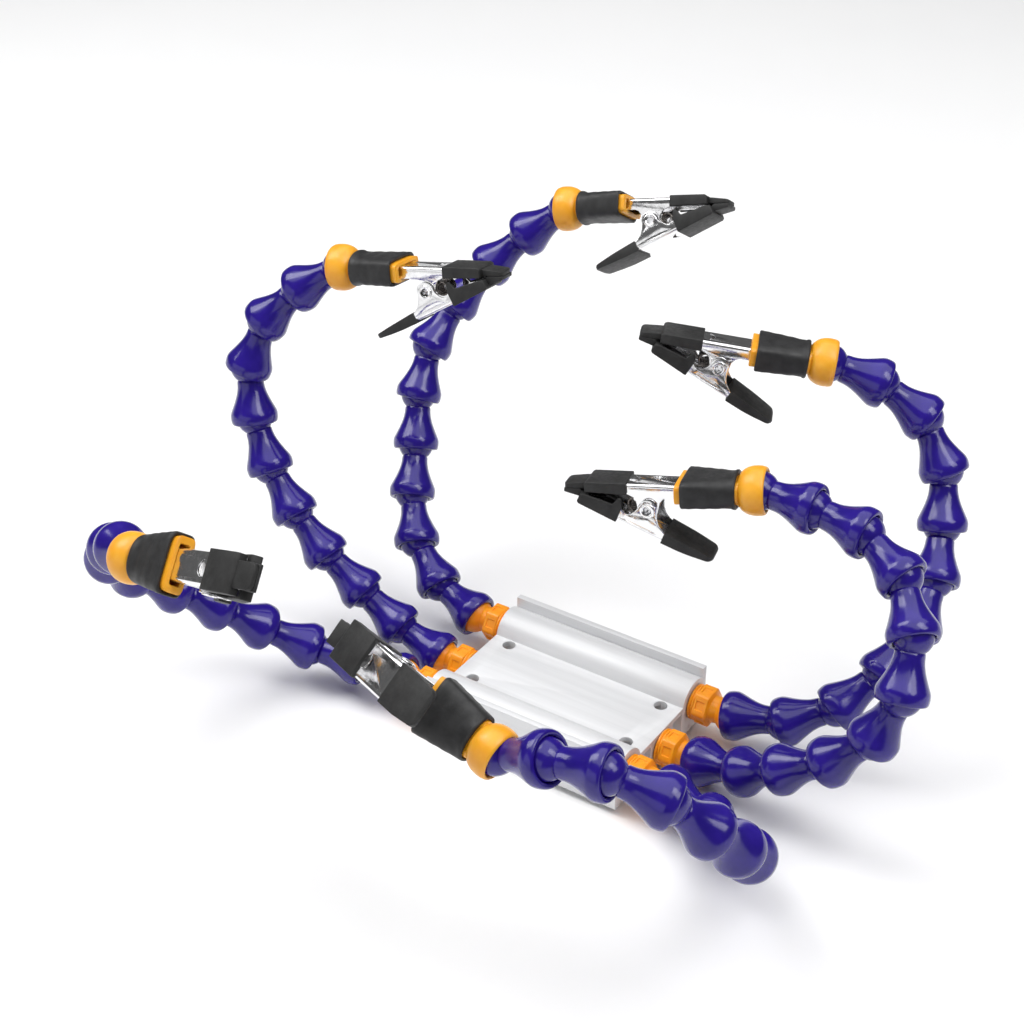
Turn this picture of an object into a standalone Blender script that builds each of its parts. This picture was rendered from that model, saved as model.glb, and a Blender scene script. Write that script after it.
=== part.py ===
"""Helping hands clamp: an extruded aluminium base with six ball-and-socket arms, each ending in a sprung
alligator clip. Metres, +Z up. The origin is the centre of the base's underside and +X runs along the base.
Lengths in the constants are millimetres. Each clip is drawn once in its own frame: x from the centre of the
last ball towards the jaw tips, z away from the moving jaw."""

import math

import bmesh
import bpy
import numpy as np
from mathutils import Matrix

MM = 0.001

# Base extrusion. The three rows of ports lie PORT_IN from each long side and in the middle.
BASE_L = 74.0
BASE_W = 58.0
RAIL_TOP = 20.5
RAIL_T = 2.2
PLATE_TOP = 12.4
WALL = 1.9
SHOULDER_R = 8.0
HOLE_D = 4.6
HOLE_IN_X = 7.0
HOLE_IN_Y = 10.5
PORT_IN = 7.4
PORT_DROP = 1.8
OUTER_Y = BASE_W / 2 - PORT_IN
OUTER_Z = PLATE_TOP - PORT_DROP
MIDDLE_Z = PLATE_TOP / 2 + 0.1
FOOT_R = 5.0
FOOT_H = 2.6
FOOT_GAP = 0.2
FOOT_IN_X = 8.0
FOOT_IN_Y = 7.5

# Connector, from the base's end face outwards, and the bore that takes its stub
STUB_R = 4.2
STUB_L = 10.0
BORE_R = STUB_R + 0.4
BORE_DEPTH = STUB_L + 2.0
BOSS_R = BORE_R + 1.8
CHAMBER_GAP = 0.8
FLANGE_R = STUB_R + 2.0
FLANGE_T = 1.6
HEX_AF = 12.0
HEX_END = 7.4
BALL_OUT = HEX_END + 7.1
FITTING_SIDES = 12
EDGE = 0.4

# Ball-and-socket hose
PITCH = 18.1
BALL_R = 6.1
CAVITY_R = BALL_R + 0.9
SOCKET_R = CAVITY_R + 1.2
NECK_R = 4.2
LIP_BACK = 2.0
FLARE = ((0.28, 1.0), (0.78, 0.72))
NECK_END = PITCH - 0.8 * BALL_R
SIDES = 10
BALL_STEPS = 4
SEGMENTS = 10
RUN_STARTS = (0, 3, 7)
RUN_NAMES = ("hose_lower", "hose_middle", "hose_upper")

# Nozzle and sleeve, in the clip's frame. The nozzle's slot holds the fixed half's steel tail.
FIXED_HALF_W = 5.0
FIXED_BACK = 2.0
DOME_R = CAVITY_R + 0.8
DOME = ((-0.295, 0.94), (0.103, 1.0), (0.442, 0.91), (0.68, 0.74))
POCKET_END = CAVITY_R - 0.6
TUBE_END = 25.3
TUBE_ROOT = (6.0, 4.6)
SLOT = (FIXED_HALF_W + 1.0, FIXED_BACK + 0.35)
TUBE_MOUTH = (SLOT[0] + 2.0, SLOT[1] + 1.15)
SLOT_DEPTH = 9.6
SLEEVE_START = POCKET_END + 0.5
SLEEVE_END = TUBE_END - 0.9
SLEEVE_GAP = 0.4
SLEEVE_T = 0.9
ROUND_SIDES = 12
OVAL = 3
BOXY = 6
SHARP = 12

# Alligator clip. The fixed half's outlines are (x, z), as is the moving nose's, with the nozzle's mouth at
# x = MOUTH_X. The rest of the moving half is drawn as (s, n): s back along it from its jaw's tip, n outwards.
MOUTH_X = 25.3
CLIP_START = TUBE_END - MOUTH_X
TAIL_X = MOUTH_X - SLOT_DEPTH + 0.6
FIXED_STEEL = ((28.5, -2.0), (30.2, -3.2))
FIXED_JAW = ((38.6, -2.4), (41.5, -0.9), (53.0, -0.7))
FIXED_COVER = ((40.9, 2.5), (40.9, -1.4), (54.4, -0.9), (54.4, 2.1))
FIXED_NOSE = ((54.0, 1.6), (54.0, -0.35), (61.5, -0.35), (61.5, 0.9), (55.6, 1.4))
MOVING_BACK = 2.9
MOVING_STEEL = ((31, 0.2), (28, 0.6), (18, 0.6), (14, -1.3), (2, 1.0), (2, 2.9), (14, 3.1), (31, 2.9))
MOVING_COVER = (
    (1.0, 0.2), (0.9, 3.4), (14.8, 3.8), (14.8, -1.4), (13.6, -4.2), (12.6, -4.2), (11.6, -1.4), (2.6, -0.35),
)
MOVING_NOSE = ((61.5, -0.65), (61.5, -1.85), (57.0, -3.0), (54.4, -4.0), (54.6, -2.4), (56.2, -0.65))
HANDLE = ((30.4, 3.5), (40, 3.2), (46.2, 2.6), (47.4, 1.9), (46.8, 1.0), (40, 0.4), (30.4, -0.3))
MOVING_EAR = ((30.8, 0.5), (30.8, 2.6), (18.4, 2.6))
SHEET_T = 0.7
EAR_GAP = 0.25
MOVING_HALF_W = FIXED_HALF_W + EAR_GAP + SHEET_T
FIXED_COVER_HALF_W = FIXED_HALF_W + 0.9
MOVING_COVER_HALF_W = MOVING_HALF_W + 0.45
NOSE_HALF_W = FIXED_HALF_W - 1.1
RIVET = (34.3, -6.1)
RIVET_R = 1.5
RIVET_HEAD_R = 2.5
RIVET_HEAD_T = 0.5
EAR_R = 3.2
PIVOT_GAP = 0.3
JAW_ANGLE = 24.8
MOVING_ORIGIN = (56.5, -0.8)
WIRE_R = 0.4
COIL_R = 2.55
COIL_TURNS = 2.5
COIL_HALF_W = FIXED_HALF_W - SHEET_T - 1.7
LEG_L = 5.0
SPRING_GAP = 0.25
SPRING = (RIVET[0] + RIVET_R + SPRING_GAP + WIRE_R + COIL_R, RIVET[1] + 0.8)

# The pitch that the way points below are drawn for
WAY_PITCH = 18.1

# Each arm: side of the base, row (y as a share of the outer row), way points from the centre of its first
# ball, the clip's direction, and the way the clip's back faces.
ARMS = {
    "left_back": (-1, 1, [(-30, 8, 14), (-46, 30, 40), (-52, 47, 69), (-42, 69, 94), (-20, 82, 117)],
                  (0.96, 0.19, 0.20), (-0.27, 0.50, 0.82)),
    "left_middle": (-1, 0, [(-28, 0, 12), (-56, -1, 33), (-78, 4, 58), (-86, 12, 90), (-66, 23, 116)],
                    (0.97, 0.17, 0.16), (-0.19, 0.17, 0.97)),
    "left_front": (-1, -1, [(-38, -6, 2), (-60, -30, 26), (-70, -57, 52), (-50, -74, 76), (-24, -91, 89)],
                   (0.92, -0.17, 0.34), (0.42, -0.63, 0.67)),
    "right_back": (1, 1, [(32, 8, 12), (47, 31, 35), (42, 57, 55), (31, 69, 84), (2, 62, 102)],
                   (-0.91, -0.40, 0.10), (0.04, 0.15, 0.99)),
    "right_middle": (1, 0, [(31, -7, 16), (58, -5, 38), (65, 2, 65), (50, 20, 84), (22, 26, 90)],
                     (-0.95, -0.30, -0.12), (-0.13, 0.14, 0.98)),
    "right_front": (1, -1, [(31, -14, 3), (47, -37, 24), (48, -60, 49), (30, -76, 71), (-3, -79, 67)],
                    (-0.97, 0.12, 0.20), (-0.46, 0.70, -0.54)),
}

COLOURS = {
    "aluminium": ((0.72, 0.73, 0.75), 0.42, 0.9),
    "blue": ((0.020, 0.010, 0.26), 0.22, 0.0),
    "orange": ((0.90, 0.33, 0.02), 0.30, 0.0),
    "yellow": ((0.90, 0.45, 0.03), 0.32, 0.0),
    "sleeve": ((0.025, 0.025, 0.027), 0.55, 0.0),
    "steel": ((0.80, 0.80, 0.82), 0.15, 1.0),
    "rubber": ((0.03, 0.03, 0.03), 0.70, 0.0),
}


# Directions and frames

def unit(vector):
    vector = np.asarray(vector, float)
    return vector / np.linalg.norm(vector)


def square_to(vector, axis):
    """The part of vector at right angles to axis, as a unit vector."""
    return unit(np.asarray(vector, float) - np.dot(vector, axis) * axis)


def first_ball(side, row):
    z = OUTER_Z if row else MIDDLE_Z
    return np.array([side * (BASE_L / 2 + BALL_OUT), row * OUTER_Y, z])


def arm_curve(start, offsets, heading, steps=30):
    """A smooth curve from start through the way points, leaving along heading, with a straight tail."""
    stretch = PITCH / WAY_PITCH
    points = np.array([start] + [start + stretch * np.array(o, float) for o in offsets])
    chords = np.linalg.norm(np.diff(points, axis=0), axis=1)
    slopes = [np.array(heading, float)]
    for i in range(1, len(points) - 1):
        before = (points[i] - points[i - 1]) / chords[i - 1]
        after = (points[i + 1] - points[i]) / chords[i]
        slopes.append((before * chords[i] + after * chords[i - 1]) / (chords[i] + chords[i - 1]))
    slopes.append(unit(2 * (points[-1] - points[-2]) / chords[-1] - slopes[-1]))
    curve = []
    for i, chord in enumerate(chords):
        for s in np.linspace(0, 1, steps, endpoint=False):
            near = (2 * s**3 - 3 * s**2 + 1) * points[i] + (s**3 - 2 * s**2 + s) * chord * slopes[i]
            far = (3 * s**2 - 2 * s**3) * points[i + 1] + (s**3 - s**2) * chord * slopes[i + 1]
            curve.append(near + far)
    curve.append(points[-1])
    curve.append(points[-1] + slopes[-1] * 5 * PITCH)
    return curve


def ball_centres(curve):
    """Points along the curve one pitch apart: the centres of the balls."""
    centres = [curve[0]]
    j = 0
    for _ in range(SEGMENTS):
        here = centres[-1]
        while j + 1 < len(curve) - 1 and np.linalg.norm(curve[j + 1] - here) < PITCH:
            j += 1
        step = curve[j + 1] - curve[j]
        back = curve[j] - here
        a = step @ step
        b = 2 * back @ step
        c = back @ back - PITCH**2
        centres.append(curve[j] + step * (-b + math.sqrt(b * b - 4 * a * c)) / (2 * a))
    return centres


def segment_frames(directions, heading):
    """One (right, up, along) frame per segment, turned as little as possible from the one before."""
    right = square_to((0, 0, 1), unit(heading))
    frames = []
    for along in directions:
        right = square_to(right, along)
        frames.append((right, np.cross(along, right), along))
    return frames


def clip_frame(direction, back):
    """(x, y, z) axes of a clip: x towards the jaw tips, z towards the fixed jaw's back."""
    x = unit(direction)
    z = square_to(back, x)
    return x, np.cross(z, x), z


# Meshes

def material(colour):
    rgb, roughness, metallic = COLOURS[colour]
    made = bpy.data.materials.new(colour)
    made.use_nodes = True
    shader = made.node_tree.nodes["Principled BSDF"]
    shader.inputs["Base Color"].default_value = (*rgb, 1.0)
    shader.inputs["Roughness"].default_value = roughness
    shader.inputs["Metallic"].default_value = metallic
    return made


def new_mesh(name, points, faces):
    """A closed mesh in metres, its faces turned outwards."""
    mesh = bpy.data.meshes.new(name)
    mesh.from_pydata([tuple(MM * float(v) for v in p) for p in points], [], faces)
    build = bmesh.new()
    build.from_mesh(mesh)
    bmesh.ops.recalc_face_normals(build, faces=build.faces)
    build.to_mesh(mesh)
    build.free()
    return mesh


def place(name, mesh, colour, origin=(0, 0, 0), axes=None, smooth=None):
    """Adds an object at origin (mm). axes are the world directions of its own x, y and z."""
    obj = bpy.data.objects.new(name, mesh)
    bpy.context.scene.collection.objects.link(obj)
    obj.data.materials.clear()
    obj.data.materials.append(material(colour))
    if smooth:
        obj.data.shade_smooth()
        obj.data.set_sharp_from_angle(angle=math.radians(smooth))
    world = np.eye(4)
    if axes is not None:
        world[:3, :3] = np.array(axes).T
    world[:3, 3] = np.asarray(origin, float) * MM
    obj.matrix_world = Matrix(world.tolist())
    return obj


def loft(rings):
    """Points and faces of a skin over a list of rings with equal counts. A ring of one point is a pole, and a
    full ring at either end is closed with a flat cap."""
    points = [p for ring in rings for p in ring]
    starts = np.cumsum([0] + [len(ring) for ring in rings])
    faces = []
    for a, b, first, second in zip(rings, rings[1:], starts, starts[1:]):
        count = max(len(a), len(b))
        for i in range(count):
            j = (i + 1) % count
            if len(a) == 1:
                faces.append((first, second + i, second + j))
            elif len(b) == 1:
                faces.append((first + i, second, first + j))
            else:
                faces.append((first + i, second + i, second + j, first + j))
    if len(rings[0]) > 1:
        faces.append(tuple(range(len(rings[0]))))
    if len(rings[-1]) > 1:
        faces.append(tuple(int(starts[-2]) + i for i in range(len(rings[-1]))))
    return points, [tuple(int(v) for v in face) for face in faces]


def ring(centre, frame, t, radius, sides=None, shape=None):
    """A ring of points round a frame's third axis, t along it from centre. shape scales the radius by angle."""
    right, up, along = frame
    sides = sides or SIDES
    if radius == 0:
        return [centre + t * along]
    turns = [2 * math.pi * k / sides for k in range(sides)]
    scale = shape or (lambda angle: 1.0)
    return [centre + t * along + radius * scale(a) * (math.cos(a) * right + math.sin(a) * up) for a in turns]


def prism(outline, low, high):
    """Points and faces of an (x, z) outline pushed along y from low to high."""
    count = len(outline)
    points = [(x, low, z) for x, z in outline] + [(x, high, z) for x, z in outline]
    faces = [tuple(range(count)), tuple(range(count, 2 * count))]
    for i in range(count):
        j = (i + 1) % count
        faces.append((i, j, count + j, count + i))
    return points, faces


def rod(centre, axis, radius, low, high, sides=10):
    """A closed cylinder about an x, y or z axis line through centre."""
    along = np.eye(3)[axis]
    right = np.eye(3)[(axis + 1) % 3]
    frame = (right, np.cross(along, right), along)
    centre = np.asarray(centre, float)
    return loft([ring(centre, frame, low, radius, sides), ring(centre, frame, high, radius, sides)])


def combine(first, steps):
    """The mesh left after joining ("UNION") or cutting ("DIFFERENCE") solids in turn."""
    body = bpy.data.objects.new("body", new_mesh("body", *first))
    bpy.context.scene.collection.objects.link(body)
    tools = []
    for operation, solid in steps:
        tool = bpy.data.objects.new("tool", new_mesh("tool", *solid))
        bpy.context.scene.collection.objects.link(tool)
        tool.hide_render = True
        tool.display_type = "WIRE"
        change = body.modifiers.new(operation, "BOOLEAN")
        change.operation = operation
        change.solver = "EXACT"
        change.object = tool
        tools.append(tool)
    bpy.context.view_layer.update()
    result = bpy.data.meshes.new_from_object(body.evaluated_get(bpy.context.evaluated_depsgraph_get()))
    for used in [body] + tools:
        bpy.data.objects.remove(used, do_unlink=True)
    return result


# Base

def base_outline():
    """The extrusion's outline in (y, z), from the plate's middle round the +y side and back."""
    steps = 9
    start = math.pi - math.asin((PLATE_TOP - OUTER_Z) / SHOULDER_R)
    rail_y = BASE_W / 2 - RAIL_T
    end = math.acos((rail_y - OUTER_Y) / SHOULDER_R)
    half = []
    for k in range(steps + 1):
        angle = start + (end - start) * k / steps
        half.append((OUTER_Y + SHOULDER_R * math.cos(angle), OUTER_Z + SHOULDER_R * math.sin(angle)))
    half += [(rail_y, RAIL_TOP), (BASE_W / 2, RAIL_TOP), (BASE_W / 2, 0.0)]
    return half + [(-y, z) for y, z in reversed(half)]


def along_x(outline, low, high):
    """A (y, z) outline pushed along x."""
    points, faces = prism(outline, low, high)
    return [(y, x, z) for x, y, z in points], faces


def fitting_rows():
    return [(row * OUTER_Y, OUTER_Z if row else MIDDLE_Z) for row in (-1, 0, 1)]


def build_base():
    half = BASE_L / 2
    past = half + 1.0
    steps = []
    for side in (-1, 1):
        inner = side * (BOSS_R + CHAMBER_GAP)
        outer = side * (OUTER_Y - SHOULDER_R - CHAMBER_GAP / 2)
        low = WALL
        high = PLATE_TOP - WALL
        chamber = [(inner, low), (outer, low), (outer, high), (inner, high)]
        steps.append(("DIFFERENCE", along_x(chamber, -past, past)))
        for y, z in fitting_rows():
            ends = sorted((side * (half - BORE_DEPTH), side * past))
            steps.append(("DIFFERENCE", rod((0, y, z), 0, BORE_R, *ends)))
        for end in (-1, 1):
            centre = (end * (half - HOLE_IN_X), side * (OUTER_Y - HOLE_IN_Y), 0)
            steps.append(("DIFFERENCE", rod(centre, 2, HOLE_D / 2, PLATE_TOP - 2 * WALL, PLATE_TOP + 1, 14)))
    mesh = combine(along_x(base_outline(), -half, half), steps)
    place("base", mesh, "aluminium", smooth=25)


def build_feet():
    for x_side, x_name in ((-1, "left"), (1, "right")):
        for y_side, y_name in ((-1, "front"), (1, "back")):
            x = x_side * (BASE_L / 2 - FOOT_IN_X)
            y = y_side * (BASE_W / 2 - FOOT_IN_Y)
            mesh = new_mesh("foot", *rod((0, 0, 0), 2, FOOT_R, -FOOT_H, -FOOT_GAP, 16))
            place(f"foot_{x_name}_{y_name}", mesh, "rubber", (x, y, 0), smooth=40)


# Hose

def hexagon(angle):
    """A hexagon's radius at this angle, as a share of its half width across flats."""
    return 1 / math.cos((angle + math.pi / 6) % (math.pi / 3) - math.pi / 6)


def ball_rings(centre, frame, sides=None):
    """Rings of the ball from where its neck ends, over to the far pole."""
    neck = math.asin(NECK_R / BALL_R)
    rings = []
    for k in range(BALL_STEPS):
        angle = neck + (math.pi - neck) * k / BALL_STEPS
        rings.append(ring(centre, frame, -BALL_R * math.cos(angle), BALL_R * math.sin(angle), sides))
    return rings + [ring(centre, frame, BALL_R, 0)]


def pocket_rings(centre, frame, sides=None):
    """Rings of the socket's hollow, from its far pole out to the lip."""
    rings = [ring(centre, frame, CAVITY_R, 0)]
    lip = math.acos(-LIP_BACK / CAVITY_R)
    for k in range(1, BALL_STEPS):
        angle = lip * k / (BALL_STEPS - 1)
        rings.append(ring(centre, frame, CAVITY_R * math.cos(angle), CAVITY_R * math.sin(angle), sides))
    return rings


def segment_rings(centre, frame):
    """The outside of one segment, from its lip to its neck."""
    rings = [ring(centre, frame, -LIP_BACK, SOCKET_R - EDGE)]
    rings += [ring(centre, frame, t * SOCKET_R, share * SOCKET_R) for t, share in FLARE]
    return rings + [ring(centre, frame, NECK_END, NECK_R)]


def build_connector(name, frame, centre):
    """The fitting in the base's end face: threaded stub, flange, hexagon and the arm's first ball."""
    face = -BALL_OUT
    profile = (
        (face - STUB_L, STUB_R, None),
        (face + EDGE, STUB_R, None),
        (face + EDGE, FLANGE_R, None),
        (face + FLANGE_T, FLANGE_R, None),
        (face + FLANGE_T + EDGE, HEX_AF / 2, hexagon),
        (face + HEX_END, HEX_AF / 2, hexagon),
        (face + HEX_END + EDGE, NECK_R, None),
    )
    zero = np.zeros(3)
    rings = [ring(zero, frame, t, radius, FITTING_SIDES, shape) for t, radius, shape in profile]
    rings += ball_rings(zero, frame, FITTING_SIDES)
    place(f"{name}_connector", new_mesh(name, *loft(rings)), "orange", centre, smooth=35)


def build_run(name, label, first, last, centres, frames):
    """Segments first to last as one body: a socket at its start and a ball at its end."""
    origin = centres[first]
    rings = pocket_rings(centres[first], frames[first])
    for k in range(first, last + 1):
        rings += segment_rings(centres[k], frames[k])
    rings += ball_rings(centres[last + 1], frames[last])
    mesh = new_mesh(label, *loft([[p - origin for p in r] for r in rings]))
    place(f"{name}_{label}", mesh, "blue", origin, smooth=35)


# Clip

def flat_ring(x, half_w, half_t, square):
    """A rounded rectangle across x: square is 2 for an ellipse, more for squarer corners."""
    points = []
    for k in range(ROUND_SIDES):
        angle = 2 * math.pi * (k + 0.5) / ROUND_SIDES
        c = math.cos(angle)
        s = math.sin(angle)
        y = half_w * math.copysign(abs(c) ** (2 / square), c)
        z = half_t * math.copysign(abs(s) ** (2 / square), s)
        points.append((x, y, z))
    return points


def round_ring(x, radius):
    return flat_ring(x, radius, radius, 2)


def tube_size(x):
    """Half width and half thickness of the nozzle's flat tube at x."""
    half_w, half_t = TUBE_ROOT
    share = (x - POCKET_END) / (TUBE_END - POCKET_END)
    return half_w + share * (TUBE_MOUTH[0] - half_w), half_t + share * (TUBE_MOUTH[1] - half_t)


def nozzle_mesh():
    rings = [round_ring(POCKET_END, math.sqrt(CAVITY_R**2 - POCKET_END**2))]
    lip = math.acos(-LIP_BACK / CAVITY_R)
    for angle in (0.62 * lip, lip):
        rings.append(round_ring(CAVITY_R * math.cos(angle), CAVITY_R * math.sin(angle)))
    rings += [round_ring(t * DOME_R, share * DOME_R) for t, share in DOME]
    rings.append(flat_ring(POCKET_END, *TUBE_ROOT, OVAL))
    rings.append(flat_ring(TUBE_END, *TUBE_MOUTH, BOXY))
    rings.append(flat_ring(TUBE_END, *SLOT, SHARP))
    rings.append(flat_ring(TUBE_END - SLOT_DEPTH, *SLOT, SHARP))
    return new_mesh("nozzle", *loft(rings))


def sleeve_mesh():
    rings = []
    for x, grow, square in (
        (SLEEVE_START, SLEEVE_GAP, OVAL),
        (SLEEVE_START, SLEEVE_GAP + SLEEVE_T, OVAL),
        (SLEEVE_END, SLEEVE_GAP + SLEEVE_T, BOXY),
        (SLEEVE_END, SLEEVE_GAP, BOXY),
    ):
        half_w, half_t = tube_size(x)
        rings.append(flat_ring(x, half_w + grow, half_t + grow, square))
    points, faces = loft(rings)
    faces = faces[:-2]
    last = len(rings) - 1
    for i in range(ROUND_SIDES):
        j = (i + 1) % ROUND_SIDES
        faces.append((last * ROUND_SIDES + i, i, j, last * ROUND_SIDES + j))
    return new_mesh("sleeve", points, faces)


def ear_arc(centre, radius, start, end, steps=4):
    """Points on an arc, degrees from +x towards +z."""
    angles = [math.radians(start + (end - start) * k / steps) for k in range(steps + 1)]
    return [(centre[0] + radius * math.cos(a), centre[1] + radius * math.sin(a)) for a in angles]


def fixed_jaw_mesh():
    """The half that the sleeve holds: a channel open downwards, with ears down to the rivet, a rubber cover
    over its jaw and a narrower nose."""
    steel = [(TAIL_X, FIXED_BACK), (TAIL_X, -FIXED_BACK), *FIXED_STEEL]
    steel += ear_arc(RIVET, EAR_R, 190, 350)
    steel += [*FIXED_JAW, (FIXED_JAW[-1][0], FIXED_BACK)]
    roof = FIXED_BACK - SHEET_T
    far = RIVET[1] - 2 * EAR_R
    end = FIXED_JAW[-1][0] + 0.6
    hollow = [(TAIL_X - 1, roof), (TAIL_X - 1, far), (end, far), (end, roof)]
    inner = FIXED_HALF_W - SHEET_T
    neck = MOVING_HALF_W + PIVOT_GAP
    head = neck + RIVET_HEAD_T
    pivot = (RIVET[0], 0, RIVET[1])
    steps = [
        ("UNION", prism(FIXED_COVER, -FIXED_COVER_HALF_W, FIXED_COVER_HALF_W)),
        ("DIFFERENCE", prism(hollow, -inner, inner)),
        ("UNION", prism(FIXED_NOSE, -NOSE_HALF_W, NOSE_HALF_W)),
        ("UNION", rod(pivot, 1, RIVET_R, -head, head)),
        ("UNION", rod(pivot, 1, RIVET_HEAD_R, -head, -neck)),
        ("UNION", rod(pivot, 1, RIVET_HEAD_R, neck, head)),
    ]
    return combine(prism(steel, -FIXED_HALF_W, FIXED_HALF_W), steps)


def moving_point(s, n):
    """A point of the moving half, s along it from the nose towards the handle and n outwards."""
    c = math.cos(math.radians(JAW_ANGLE))
    d = math.sin(math.radians(JAW_ANGLE))
    return MOVING_ORIGIN[0] - c * s + d * n, MOVING_ORIGIN[1] - d * s - c * n


def slanted(points):
    """The points (s, n) of the moving half, measured from the rivet."""
    return [(x - RIVET[0], z - RIVET[1]) for x, z in (moving_point(s, n) for s, n in points)]


def moving_jaw_mesh():
    """The half that swings on the rivet: a channel whose ears lie outside the fixed half's, a rubber cover over
    its jaw, a narrower nose, and a covered handle. Its origin is on the rivet."""
    roof = MOVING_BACK - SHEET_T
    deep = -4 * EAR_R
    hollow = slanted([(3, deep), (3, roof), (29.6, roof), (29.6, deep)])
    nose = [(x - RIVET[0], z - RIVET[1]) for x, z in MOVING_NOSE]
    ear = ear_arc((0, 0), EAR_R, -10, 190, 5) + slanted(MOVING_EAR)
    inner = MOVING_HALF_W - SHEET_T
    outer = MOVING_COVER_HALF_W
    steps = [
        ("UNION", prism(slanted(MOVING_COVER), -outer, outer)),
        ("DIFFERENCE", prism(hollow, -inner, inner)),
        ("UNION", prism(slanted(HANDLE), -outer, outer)),
        ("UNION", prism(nose, -NOSE_HALF_W, NOSE_HALF_W)),
        ("UNION", prism(ear, -MOVING_HALF_W, -inner)),
        ("UNION", prism(ear, inner, MOVING_HALF_W)),
        ("DIFFERENCE", rod((0, 0, 0), 1, RIVET_R + PIVOT_GAP, -outer, outer)),
    ]
    return combine(prism(slanted(MOVING_STEEL), -MOVING_HALF_W, MOVING_HALF_W), steps)


def spring_mesh():
    """A torsion spring between the jaws, one leg towards each half. Its origin is its coil's centre."""
    per_turn = 8
    count = round(COIL_TURNS * per_turn)
    path = []
    for k in range(count + 1):
        angle = 2 * math.pi * k / per_turn
        y = COIL_HALF_W * (2 * k / count - 1)
        path.append(np.array([COIL_R * math.sin(angle), y, COIL_R * math.cos(angle)]))
    path.insert(0, path[0] + np.array([-LEG_L, 0, 0]))
    path.append(path[-1] + np.array([LEG_L, 0, 0]))
    rings = []
    for i, point in enumerate(path):
        along = unit(path[min(i + 1, len(path) - 1)] - path[max(i - 1, 0)])
        right = square_to((0, 1, 0), along)
        rings.append(ring(point, (right, np.cross(along, right), along), 0, WIRE_R, 4))
    return new_mesh("spring", *loft(rings))


def build_clip(name, end, direction, back, meshes):
    x, y, z = clip_frame(direction, back)
    start = end + CLIP_START * x
    pivot = start + RIVET[0] * x + RIVET[1] * z
    coil = start + SPRING[0] * x + SPRING[1] * z
    for label, colour, origin, smooth in (
        ("nozzle", "yellow", end, 40),
        ("sleeve", "sleeve", end, 40),
        ("fixed_jaw", "steel", start, 30),
        ("moving_jaw", "steel", pivot, 30),
        ("spring", "steel", coil, 60),
    ):
        place(f"{name}_{label}", meshes[label].copy(), colour, origin, (x, y, z), smooth)


def build_arm(name, arm, meshes):
    side, row, offsets, direction, back = arm
    heading = (side, 0, 0)
    centres = ball_centres(arm_curve(first_ball(side, row), offsets, heading))
    directions = [unit(b - a) for a, b in zip(centres, centres[1:])]
    start = segment_frames([np.array(heading, float)], heading)[0]
    frames = segment_frames(directions, heading)
    build_connector(name, start, centres[0])
    ends = list(RUN_STARTS[1:]) + [SEGMENTS]
    for label, first, end in zip(RUN_NAMES, RUN_STARTS, ends):
        build_run(name, label, first, end - 1, centres, frames)
    build_clip(name, centres[-1], direction, back, meshes)


def main():
    for obj in list(bpy.data.objects):
        bpy.data.objects.remove(obj, do_unlink=True)
    build_base()
    build_feet()
    meshes = {
        "nozzle": nozzle_mesh(),
        "sleeve": sleeve_mesh(),
        "fixed_jaw": fixed_jaw_mesh(),
        "moving_jaw": moving_jaw_mesh(),
        "spring": spring_mesh(),
    }
    for name, arm in ARMS.items():
        build_arm(name, arm, meshes)


main()
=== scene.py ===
"""Helping hands clamp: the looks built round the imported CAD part.

Lengths in the constants are millimetres. A clip is drawn in its own frame, which starts at the centre of the last
ball, with x towards the jaw tips. Its y is across the clip.
"""

import math

import bmesh
import bpy
import numpy as np
from mathutils import Matrix


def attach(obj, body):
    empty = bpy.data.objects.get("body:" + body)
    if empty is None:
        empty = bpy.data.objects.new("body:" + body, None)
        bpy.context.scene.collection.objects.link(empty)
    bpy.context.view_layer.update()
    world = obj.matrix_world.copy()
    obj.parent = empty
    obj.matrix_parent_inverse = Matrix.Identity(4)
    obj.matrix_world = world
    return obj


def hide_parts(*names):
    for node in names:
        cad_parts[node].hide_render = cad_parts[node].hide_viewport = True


MM = 0.001

# Sizes shared with the CAD part
BASE_L = 74.0
BASE_W = 58.0
RAIL_TOP = 20.5
RAIL_T = 2.2
PLATE_TOP = 12.4
WALL = 1.9
SHOULDER_R = 8.0
HOLE_D = 4.6
HOLE_X = 60.0
HOLE_Y = 22.2
BORE_R = 4.6
BORE_DEPTH = 12.0
OUTER_Y = 21.6
OUTER_Z = 10.6
MIDDLE_Z = 6.3
BOSS_R = 6.4
CHAMBER_GAP = 0.8
FOOT_R = 5.0
FOOT_H = 2.6
FOOT_IN_X = 8.0
FOOT_IN_Y = 7.5
BALL_OUT = 14.5
PITCH = 18.1
SEGMENTS = 10
RUN_STARTS = (0, 3, 7)
RUN_NAMES = ("lower", "middle", "upper")
FIXED_BACK = 2.0
FIXED_HALF_W = 5.0
MOVING_BACK = 2.9
MOVING_HALF_W = 5.95
SHEET_T = 0.6
BEND_R = 1.1
COVER_OVERLAP = 0.05
PRESS_DEPTH = 0.15
CRESCENT_TIP = 0.2
RIVET_HOLE_R = 1.7
RIVET_HEAD = (
    (0.0, 1.7), (0.0, 2.15), (-0.15, 2.35), (-0.35, 2.3), (-0.48, 2.0), (-0.42, 1.6), (-0.2, 1.3), (0.5, 1.2),
)
FIXED_COVER_HALF_W = 5.9
MOVING_COVER_HALF_W = 6.4
NOSE_HALF_W = 3.9
SPRING = (39.0, -5.3)
COIL_R = 2.2
COIL_TURNS = 5.5
COIL_HALF_W = 2.9
LEG_L = 5.0
WIRE_R = 0.42
EAR_R = 3.2
RIVET = (34.3, -6.1)
JAW_ANGLE = 24.8
MOVING_ORIGIN = (56.5, -0.8)

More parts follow.
